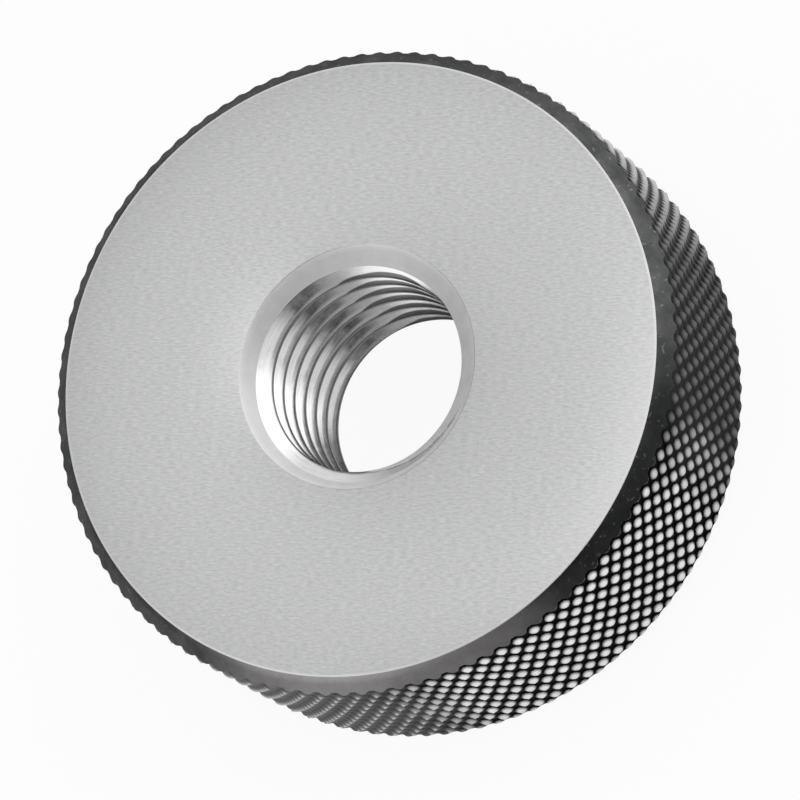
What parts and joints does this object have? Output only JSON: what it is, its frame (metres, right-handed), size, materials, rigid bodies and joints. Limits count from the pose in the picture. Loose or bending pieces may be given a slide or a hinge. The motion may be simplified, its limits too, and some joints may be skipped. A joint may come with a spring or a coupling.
{
  "type": "thread ring gauge",
  "caption": "Solid steel ring gauge with a diamond-knurled rim and a screw-threaded bore, countersunk at both flat end faces, for checking an external thread.",
  "frame": {"origin": "middle of the back end face, on the surface that the ring lies on", "axes": "+Z along the threaded bore, from the back face up to the front face"},
  "size_m": [0.045, 0.045, 0.016],
  "materials": {
    "gauge_steel": "end faces and thread ground bright, knurl and rim chamfers black-oxide"
  },
  "bodies": {
    "root": {"gauge_ring": "gauge_steel"}
  },
  "joints": []
}
